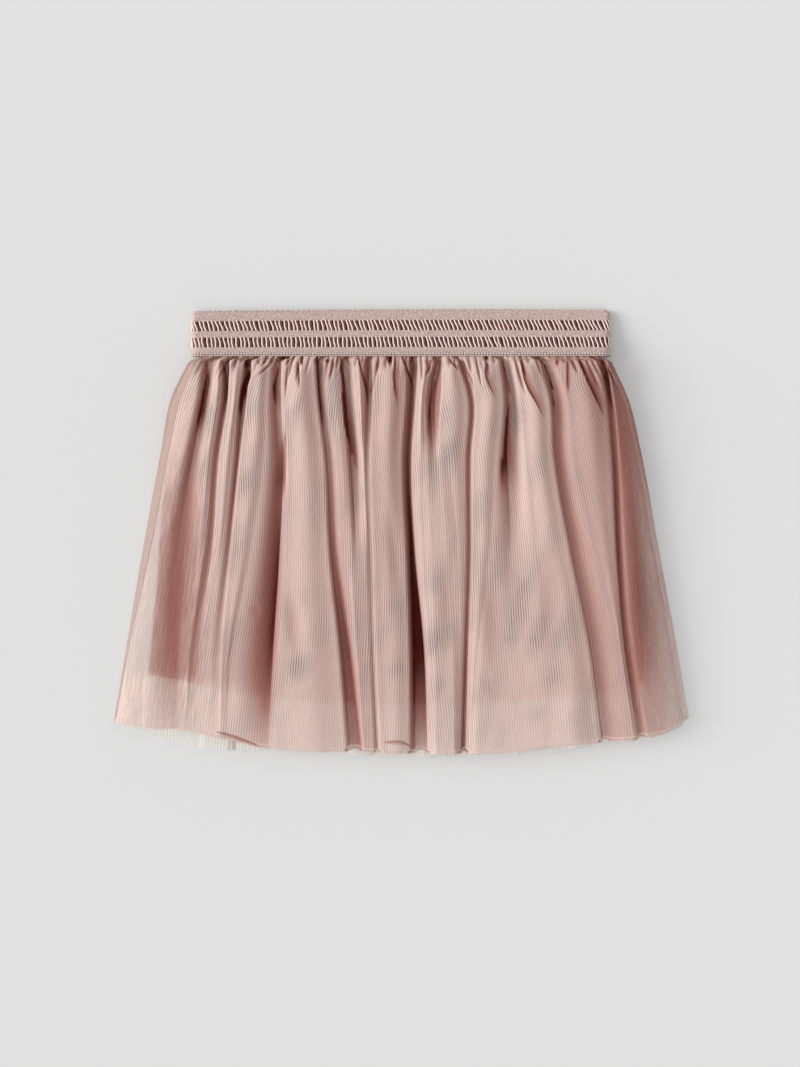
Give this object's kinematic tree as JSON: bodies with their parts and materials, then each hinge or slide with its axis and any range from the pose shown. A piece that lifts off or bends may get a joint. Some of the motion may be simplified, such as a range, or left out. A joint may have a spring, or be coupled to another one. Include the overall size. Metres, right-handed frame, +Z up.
{
  "type": "tulle skirt laid flat",
  "caption": "Child's gathered tulle skirt laid flat, with an openwork elastic waistband, sheer outer layers and an A-line lining.",
  "frame": {"origin": "middle of the skirt's footprint, on the surface that it lies on", "axes": "+X across the skirt towards the right-hand side as it is looked down on, +Y along it from hem to waistband, +Z up from the surface"},
  "size_m": [0.3478, 0.2688, 0.0195],
  "materials": {
    "elastic": "woven elastic with two openwork rows",
    "tulle": "sheer ribbed tulle",
    "tulle_under": "sheer ribbed tulle",
    "lining": "soft satin"
  },
  "bodies": {
    "root": {"waistband_elastic": "elastic", "tulle_outer_front": "tulle", "tulle_outer_back": "tulle", "tulle_under_front": "tulle_under", "tulle_under_back": "tulle_under", "lining_front": "lining", "lining_back": "lining"}
  },
  "joints": []
}
